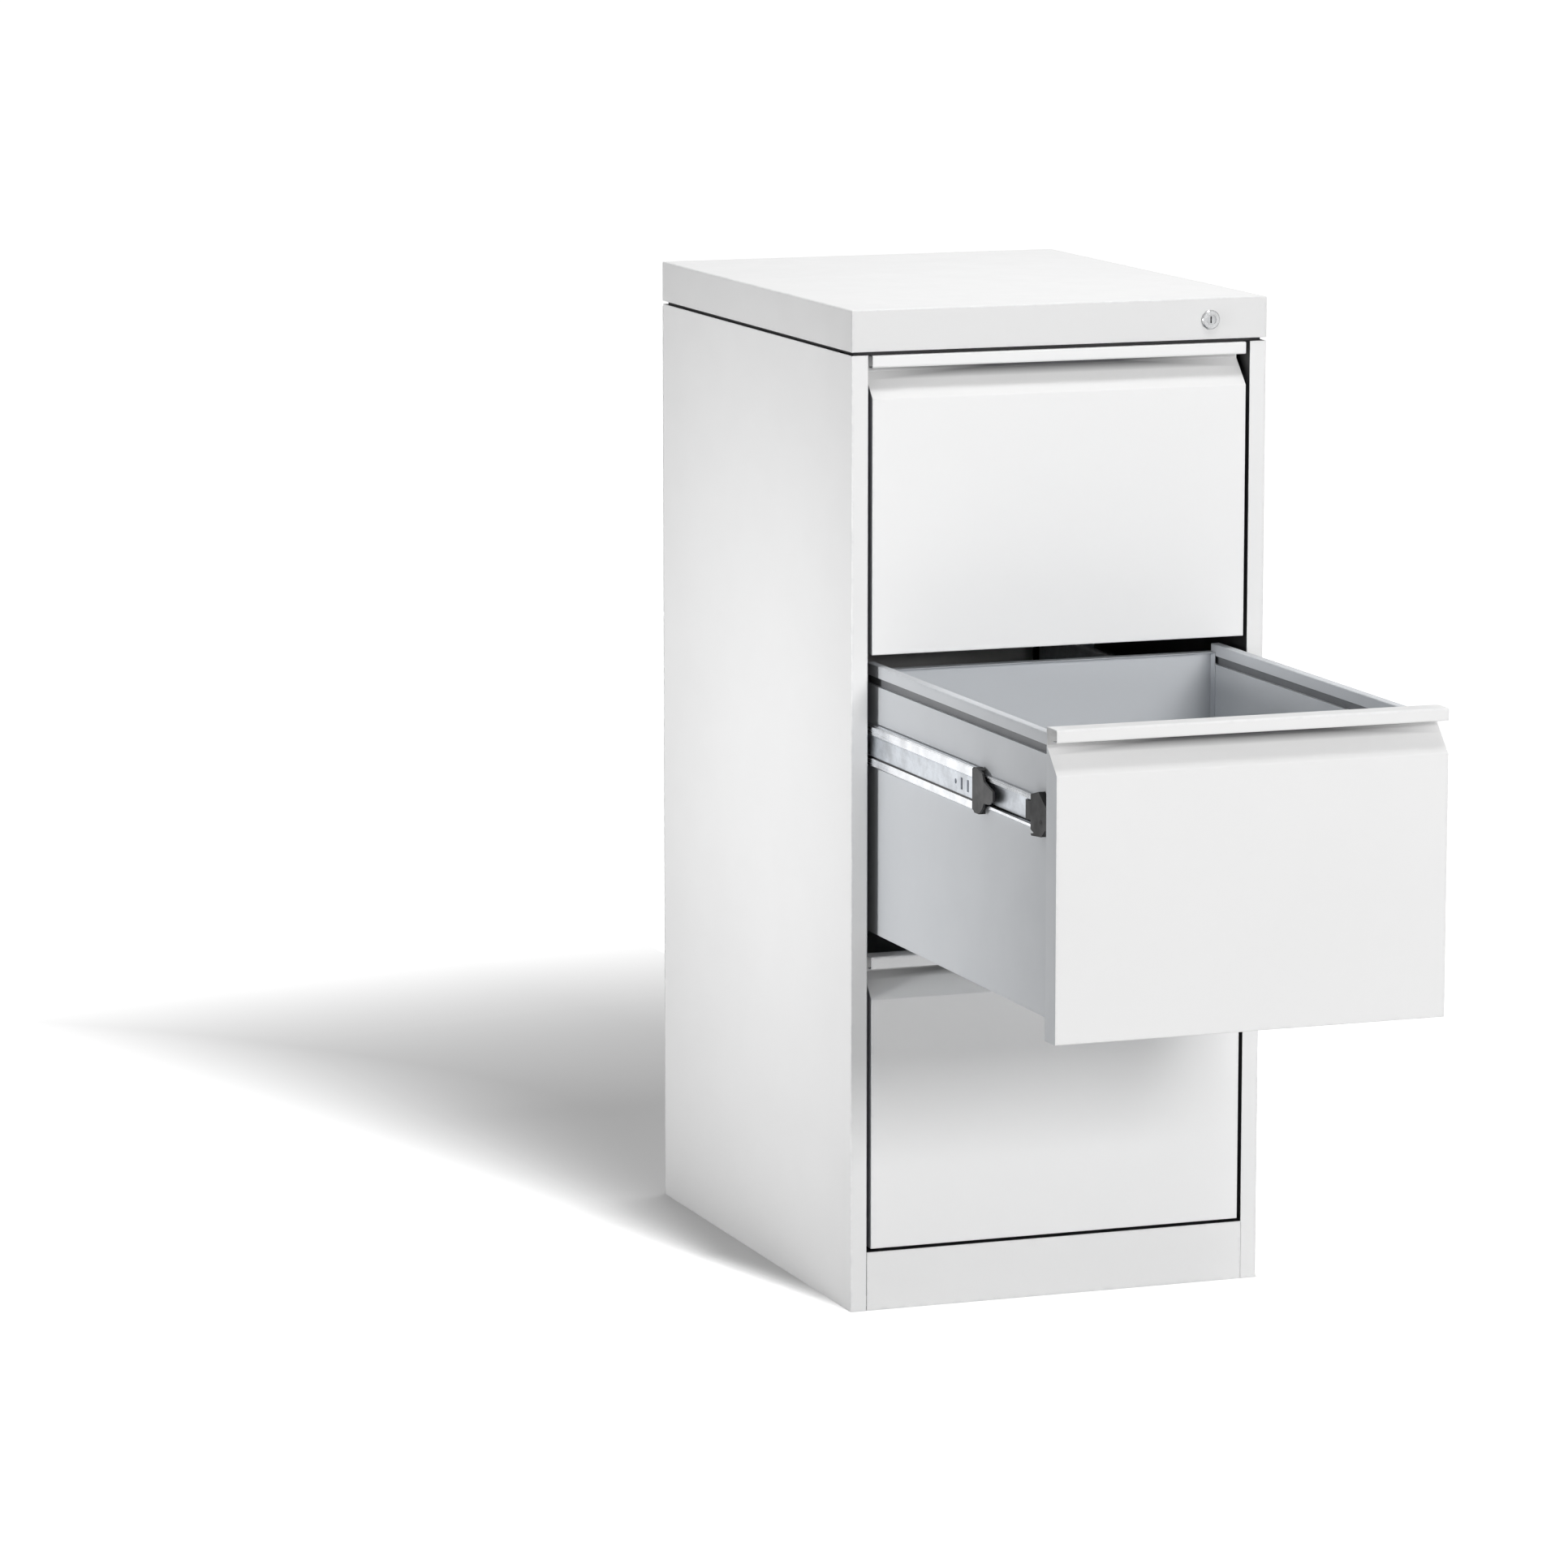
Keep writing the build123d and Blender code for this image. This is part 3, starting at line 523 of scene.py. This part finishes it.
drawer_web_half = 0.0110
ribs = (0.0112, 0.0166, 0.0022)
rib_edge = 0.0003
rib_flank = 0.35
stop_cap_length = 0.055
cap_clearance = 0.0001


def between(tree, value, low, high, fade):
    """Mask that is one where the value lies between low and high."""
    rise = ramp(tree, value, low=low - fade, high=low + fade)
    fall = ramp(tree, value, low=high - fade, high=high + fade, first=1.0, last=0.0)
    return maths(tree, "MULTIPLY", rise, fall)


def slide_strip(name, middle, web_half, ribs=None, cap_end=None):
    """Slide strip with tracks painted brighter as highlight and a web painted darker as shade,
    about the height middle.

    The values of ribs are the lower and upper edge of a band of fine ribs with painted
    shade between them, from the middle, and their pitch. Up to cap_end the strip is a black nylon
    cap.
    """
    strip, tree, surface, place = new_finish(name)
    along, up = split(tree, place)[1:]
    # Painted highlight and shade: the tracks are painted brighter than the web.
    web = between(tree, up, middle - web_half, middle + web_half, web_edge)
    plate = new_node(
        tree,
        "ShaderNodeGroup",
        {
            "Place": place,
            "Colour": blended(tree, "RGBA", web, track_highlight_colour, web_shade_colour),
            "Line": slide_lines,
            "Roughness": blended(tree, "FLOAT", web, bright_roughness, dull_roughness),
        },
        node_tree=drawn_zinc,
    ).outputs
    rough, height, dents, metal = plate["Roughness"], plate["Height"], strip_dents, 1.0
    # Painted shadow: a black line under the web, as the shadow of its step.
    step_shadow_bottom = middle - web_half - step_shadow_height
    under_web_shadow = between(tree, up, step_shadow_bottom, middle - web_half + step_shadow_edge, step_shadow_edge)
    colour = blended(tree, "RGBA", under_web_shadow, plate["Colour"], step_shadow_colour)
    if ribs is not None:
        dents = rib_dents
        lower, upper, pitch = ribs
        # Painted shade: the gaps between the ribs are painted dark as shade.
        band = between(tree, up, middle + lower, middle + upper, rib_edge)
        wave = maths(tree, "SINE", maths(tree, "MULTIPLY", along, 2 * pi / pitch))
        rib_shadows = maths(tree, "MULTIPLY", ramp(tree, wave, low=-rib_flank, high=rib_flank), band)
        colour = blended(tree, "RGBA", rib_shadows, colour, rib_shadow_colour)
        height = blended(tree, "FLOAT", rib_shadows, height, 0.0)
    if cap_end is not None:
        capped = maths(tree, "LESS_THAN", along, cap_end)
        cap = black_moulding(tree, place)
        colour = blended(tree, "RGBA", capped, colour, cap["Colour"])
        rough = blended(tree, "FLOAT", capped, rough, cap["Roughness"])
        height = blended(tree, "FLOAT", capped, height, cap["Height"])
        metal = blended(tree, "FLOAT", capped, 1.0, 0.0)
    normal = bumped(tree, height, strength=0.35, distance=dents)
    values = {"Base Color": colour, "Metallic": metal, "Roughness": rough, "Normal": normal}
    set_inputs(tree, surface, values)
    return strip


for drawer in drawers:
    lo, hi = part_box(drawer + "_left_cabinet_slide")
    middle = (lo.z + hi.z) / 2
    cap_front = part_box(drawer + "_left_middle_slide")[0].y
    cap_end = cap_front + stop_cap_length - cap_clearance
    outer_strip = slide_strip(drawer + " outer strip", middle, cabinet_web_half)
    capped_strip = slide_strip(drawer + " capped strip", middle, middle_web_half, cap_end=cap_end)
    inner_strip = slide_strip(drawer + " inner strip", middle, drawer_web_half, ribs=ribs)
    for side in ("left", "right"):
        finish_node(drawer + "_" + side + "_cabinet_slide", outer_strip)
        finish_node(drawer + "_" + side + "_middle_slide", capped_strip)
        finish_node(drawer + "_" + side + "_drawer_slide", inner_strip)

# Screws of the slides: zinc plated pan heads with a cross recess, three through
# the web of each drawer member into the drawer wall.
screw_radius = 0.0036
screw_height = 0.0017
screw_crown = ((0.15, 0.10), (0.2, 0.05), (0.25, 0.0))
recess_length = 0.0042
recess_width = 0.0009
head_sides = 24
flat_face = 0.9
sharp_corner = radians(40)
screw_places = (0.130, 0.270, 0.440)
strip_thickness = 0.0012


def pick_faces(piece, wanted):
    """Selects the faces that wanted accepts, and opens the piece in edit mode."""
    bpy.ops.object.mode_set(mode="EDIT")
    bpy.ops.mesh.select_mode(type="FACE")
    bpy.ops.mesh.select_all(action="DESELECT")
    bpy.ops.object.mode_set(mode="OBJECT")
    for face in piece.data.polygons:
        face.select = wanted(face)
    bpy.ops.object.mode_set(mode="EDIT")


def apply_modifier(piece, kind, **settings):
    """Adds one modifier to the piece, and applies it."""
    modifier = piece.modifiers.new(kind.lower(), kind)
    for name, value in settings.items():
        setattr(modifier, name, value)
    bpy.context.view_layer.objects.active = piece
    bpy.ops.object.modifier_apply(modifier=modifier.name)


def round_head(radius, height, steps, rounding):
    """A round head that stands upright at the origin, with its underside open.

    Each step insets the top face by a share of the radius, and then lifts it by
    a share of the height.
    """
    bpy.ops.object.select_all(action="DESELECT")
    bpy.ops.mesh.primitive_cylinder_add(
        vertices=head_sides,
        radius=radius,
        depth=height,
        location=(0, 0, height / 2),
    )
    head = bpy.context.object
    bpy.ops.object.transform_apply(location=True, rotation=True, scale=True)
    pick_faces(head, lambda face: face.normal.z > flat_face)
    for inset, lift in steps:
        bpy.ops.mesh.inset(thickness=radius * inset, depth=0)
        bpy.ops.transform.translate(value=(0, 0, height * lift))
    bpy.ops.object.mode_set(mode="OBJECT")
    pick_faces(head, lambda face: face.normal.z < -flat_face and face.center.z < height * 0.1)
    bpy.ops.mesh.delete(type="ONLY_FACE")
    bpy.ops.object.mode_set(mode="OBJECT")
    apply_modifier(
        head,
        "BEVEL",
        width=rounding,
        segments=2,
        limit_method="ANGLE",
        angle_limit=sharp_corner,
    )
    return head


def placed_copy(piece, turn, place):
    """A copy with its own mesh, turned and set down at a place."""
    copy = piece.copy()
    copy.data = piece.data.copy()
    bpy.context.scene.collection.objects.link(copy)
    copy.data.transform(Matrix.Translation(place) @ turn)
    copy.data.update()
    return copy


def joined(pieces, name):
    """Makes one piece of several."""
    bpy.ops.object.select_all(action="DESELECT")
    for piece in pieces:
        piece.select_set(True)
    bpy.context.view_layer.objects.active = pieces[0]
    bpy.ops.object.join()
    pieces[0].name = name
    return pieces[0]


screw = round_head(screw_radius, screw_height, screw_crown, rounding=0.00025)
for across in (0, 90):
    bpy.ops.object.select_all(action="DESELECT")
    bpy.ops.mesh.primitive_cube_add(
        size=1,
        location=(0, 0, screw_height),
        rotation=(0, 0, radians(across)),
        scale=(recess_length, recess_width, screw_height),
    )
    cutter = bpy.context.object
    apply_modifier(screw, "BOOLEAN", operation="DIFFERENCE", object=cutter, solver="EXACT")
    bpy.data.objects.remove(cutter)
screw.data.materials.append(upright_zinc)
for drawer in drawers:
    lo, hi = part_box(drawer + "_right_drawer_slide")
    web_face = lo.x + strip_thickness
    heads = []
    for side in (-1, 1):
        turn = Matrix.Rotation(radians(90 * side), 4, "Y")
        for place in screw_places:
            spot = (side * web_face, lo.y + place, (lo.z + hi.z) / 2)
            heads.append(placed_copy(screw, turn, spot))
    screws = joined(heads, drawer + "_slide_screws")
    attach(screws, drawer + "_drawer")
bpy.data.objects.remove(screw)

# Rivets of the back panel: blind rivets in plain zinc, a domed flange with the
# broken pull-stem in its middle, along both upright edges.
rivet_radius = 0.0033
rivet_height = 0.0011
rivet_dome = ((0.18, 0.25), (0.2, 0.15), (0.2, 0.0), (0.05, -0.7), (0.12, 0.1))
rivet_inset = 0.009
rivet_rows = (0.045, 0.215, 0.385, 0.555, 0.725, 0.895)
rivet = round_head(rivet_radius, rivet_height, rivet_dome, rounding=0.0002)
rivet.data.materials.append(upright_zinc)
back_lo, back_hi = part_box("back_panel")
backward = Matrix.Rotation(radians(-90), 4, "X")
heads = []
for side_x in (back_lo.x + rivet_inset, back_hi.x - rivet_inset):
    for row in rivet_rows:
        heads.append(placed_copy(rivet, backward, (side_x, back_hi.y, back_lo.z + row)))
back_rivets = joined(heads, "back_rivets")
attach(back_rivets, "cabinet")
bpy.data.objects.remove(rivet)

# Pivot studs of the latch caps: small moulded rings on the outer face of each
# cap, where the hidden spring hook turns.
stud_radius = 0.0024
stud_height = 0.0003
stud_ring = ((0.35, 0.0), (0.1, -0.8))
stud_from_front = 0.014
stud_below_middle = 0.006
stud = round_head(stud_radius, stud_height, stud_ring, rounding=0.0001)
stud.data.materials.append(black_nylon)
for drawer in drawers:
    lo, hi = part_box(drawer + "_latch_caps")
    rings = []
    for side in (-1, 1):
        turn = Matrix.Rotation(radians(90 * side), 4, "Y")
        spot = (side * hi.x, lo.y + stud_from_front, (lo.z + hi.z) / 2 - stud_below_middle)
        rings.append(placed_copy(stud, turn, spot))
    studs = joined(rings, drawer + "_cap_studs")
    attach(studs, drawer + "_drawer")
bpy.data.objects.remove(stud)

# Bearing balls: hardened steel balls in pressed pockets of the thin cages, in
# rows above and below, which carry one slide member in the next.
ball_colour = (0.72, 0.74, 0.77, 1)
ball_lines = (300.0, 300.0, 300.0)
pocket_radius = 0.98
pocket_lip = 0.12
ball_steel = zinc_plated("ball steel", ball_lines, ball_colour, roughness=0.12, dents=0.00001)
for layer, radius, sunk, row_x, count in (
    ("_outer", 0.0017, 0.00095, 0.2058, 8),
    ("_inner", 0.00115, 0.0005, 0.2050, 14),
):
    bpy.ops.object.select_all(action="DESELECT")
    bpy.ops.mesh.primitive_uv_sphere_add(segments=8, ring_count=6, radius=radius)
    ball = bpy.context.object
    bpy.ops.object.mode_set(mode="EDIT")
    bpy.ops.mesh.primitive_torus_add(
        major_segments=8,
        minor_segments=3,
        major_radius=radius * pocket_radius,
        minor_radius=radius * pocket_lip,
    )
    bpy.ops.object.mode_set(mode="OBJECT")
    bpy.ops.object.shade_smooth()
    ball.data.materials.append(ball_steel)
    for drawer in drawers:
        lo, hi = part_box(drawer + layer + "_ball_cages")
        pitch = (hi.y - lo.y) / count
        balls = []
        for side in (-1, 1):
            for level in (lo.z + sunk, hi.z - sunk):
                for step in range(count):
                    spot = (side * row_x, lo.y + pitch * (step + 0.5), level)
                    balls.append(placed_copy(ball, Matrix.Identity(4), spot))
        rows = joined(balls, drawer + layer + "_balls")
        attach(rows, drawer + layer + "_cages")
    bpy.data.objects.remove(ball)

# Cam lock: die-cast housing and plug, bright nickel plated, pushed through the
# cover from the front and turned on a lathe at the ring.
ring_nickel_colour = (0.42, 0.425, 0.43, 1)
plug_nickel_colour = (0.32, 0.325, 0.33, 1)
nickel_blotch = 0.12
lock_low, lock_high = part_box("lock_plug")
lock_axis = ((lock_low.x + lock_high.x) / 2, 0.0, (lock_low.z + lock_high.z) / 2)


def nickel_plated(name, colour, roughness):
    """Bright nickel with turning lines round the axis of the lock."""
    nickel, tree, surface, place = new_finish(name)
    centred = new_node(
        tree,
        "ShaderNodeMapping",
        {
            "Vector": place,
            "Location": tuple(-value for value in lock_axis),
            "Scale": (1.0, 0.0, 1.0),
        },
    )
    rings = new_node(
        tree,
        "ShaderNodeTexWave",
        {"Vector": centred.outputs[0], "Scale": 900.0, "Distortion": 0.6},
        wave_type="RINGS",
        rings_direction="SPHERICAL",
    )
    blotch = noise(tree, place, scale=420.0, detail=3.0)
    dullest = roughness + nickel_blotch
    values = {
        "Base Color": colour,
        "Metallic": 1.0,
        "Roughness": ramp(tree, blotch, low=0.3, high=0.7, first=roughness, last=dullest),
        "Normal": bumped(tree, rings.outputs["Fac"], strength=0.25, distance=0.00003),
    }
    set_inputs(tree, surface, values)
    return nickel


finish_node("lock_housing", nickel_plated("ring nickel", ring_nickel_colour, roughness=0.2))
finish_node("lock_plug", nickel_plated("plug nickel", plug_nickel_colour, roughness=0.28))

# Studio: a plain white surround, and a white floor that keeps the lamps' soft shadow,
# deepened by a shadow painted into its colour and glow, and runs out into pure white
# away from it. Four soft lamps stand in front, above the middle, above the front and
# far to the left.
world = bpy.data.worlds.new("white studio")
bpy.context.scene.world = world
world.use_nodes = True
tree = world.node_tree
tree.nodes.clear()
surround_light = {"Color": (0.995, 0.997, 1.0, 1), "Strength": 0.23}
seen_light = {"Color": (1.0, 1.0, 1.0, 1), "Strength": 1.0}
surround = new_node(tree, "ShaderNodeBackground", surround_light)
backdrop = new_node(tree, "ShaderNodeBackground", seen_light)
rays = new_node(tree, "ShaderNodeLightPath").outputs
seen = greatest(tree, [rays["Is Camera Ray"], rays["Is Glossy Ray"], rays["Is Transmission Ray"]])
both = {"Fac": seen, 1: surround.outputs[0], 2: backdrop.outputs[0]}
shown = new_node(tree, "ShaderNodeMixShader", both)
new_node(tree, "ShaderNodeOutputWorld", {"Surface": shown.outputs[0]})

shadow_corner = (-0.23, -0.045, 0.0)
shadow_turn = radians(14)
near_shadow, far_shadow = 0.3, 2.5
near_edge_width, far_edge_width = 0.05, 1.04
clear_power = 2.2
painted_shadow_floor, clear_floor = 0.70, 0.86
near_white, far_white = 0.80, 0.86
bpy.ops.object.select_all(action="DESELECT")
bpy.ops.mesh.primitive_plane_add(size=80, location=(0, 0, 0))
floor = bpy.context.object
floor.name = "studio_floor"
floor_paint, tree, matt, place = new_finish("floor paint")
rays = new_node(tree, "ShaderNodeLightPath").outputs
seen = greatest(tree, [rays["Is Camera Ray"], rays["Is Glossy Ray"]])
from_corner = new_node(
    tree,
    "ShaderNodeMapping",
    {"Vector": place, "Location": shadow_corner, "Rotation": (0.0, 0.0, shadow_turn)},
    vector_type="TEXTURE",
).outputs[0]
across, away = split(tree, from_corner)[:2]
right, back = split(tree, place)[:2]
edge_width = ramp(
    tree,
    away,
    low=near_shadow,
    high=far_shadow,
    first=near_edge_width,
    last=far_edge_width,
)
in_edge = maths(tree, "DIVIDE", across, edge_width)
# Painted shadow: the floor's colour and glow are lower in a band shaped like the cabinet's shadow.
clear_ways = (
    (in_edge, 1.0, -0.15),
    (away, 0.9, 2.0),
    (right, 0.215, 0.24),
    (back, -0.036, -0.05),
)
clear = greatest(tree, [ramp(tree, way, low=dark, high=white) for way, dark, white in clear_ways])
faded = maths(tree, "POWER", clear, clear_power)
distance = new_node(tree, "ShaderNodeVectorMath", {0: from_corner}, operation="LENGTH")
white = ramp(
    tree,
    distance.outputs["Value"],
    low=1.5,
    high=5.0,
    first=near_white,
    last=far_white,
)
glow = maths(tree, "MULTIPLY", seen, maths(tree, "MULTIPLY", faded, white))
# The base colour is darker within the painted shadow.
floor_values = {
    "Base Color": ramp(tree, faded, low=0.0, high=1.0, first=painted_shadow_floor, last=clear_floor),
    "Roughness": 0.9,
    "Specular IOR Level": 0.1,
    "Emission Color": (1, 1, 1, 1),
    "Emission Strength": glow,
}
set_inputs(tree, matt, floor_values)
floor.data.materials.append(floor_paint)


def soft_lamp(name, place, aim, size, power, spread=180, colour=(1.0, 1.0, 1.0)):
    """A square diffused lamp that looks at the point aim; a grid narrows its spread."""
    lamp = bpy.data.lights.new(name, "AREA")
    lamp.shape = "SQUARE"
    lamp.size = size
    lamp.spread = radians(spread)
    lamp.energy = power
    lamp.color = colour
    holder = bpy.data.objects.new(name, lamp)
    bpy.context.scene.collection.objects.link(holder)
    holder.location = place
    holder.rotation_euler = (Vector(aim) - Vector(place)).to_track_quat("-Z", "Y").to_euler()


warm_white = (1.0, 0.998, 0.995)
soft_lamp("front lamp", (0.9, -6.0, 2.2), (0.0, 0.2, 0.5), size=1.2, power=174, colour=warm_white)
soft_lamp("top lamp", (0.3, 0.9, 3.4), (0.0, 0.2, 1.0), size=1.0, power=33)
soft_lamp("top front lamp", (0.2, -0.9, 3.6), (0.0, 0.1, 0.6), size=0.6, power=2.9, spread=60)
soft_lamp("left lamp", (-3.2, -0.7, 0.8), (-0.23, 0.26, 0.60), size=0.5, power=2.6, spread=36)

# Camera: a long lens a little to the left of the open drawer and above it, fitted
# to the outline of the cabinet. Its focal length is known in photograph pixels.
camera_place = (-2.712, -6.649, 1.732)
camera_turn = 0.3497
camera_tilt = 0.165
focal_pixels = 8575.5
photograph_pixels = 1932
sensor_width = 36.0
camera_data = bpy.data.cameras.new("camera")
camera_data.sensor_width = sensor_width
camera_data.lens = focal_pixels / photograph_pixels * sensor_width
camera_data.clip_end = 200.0
camera = bpy.data.objects.new("camera", camera_data)
bpy.context.scene.collection.objects.link(camera)
camera.location = camera_place
camera.rotation_euler = (radians(90) - camera_tilt, 0.0, -camera_turn)
bpy.context.scene.camera = camera
bpy.context.scene.view_settings.view_transform = "Standard"
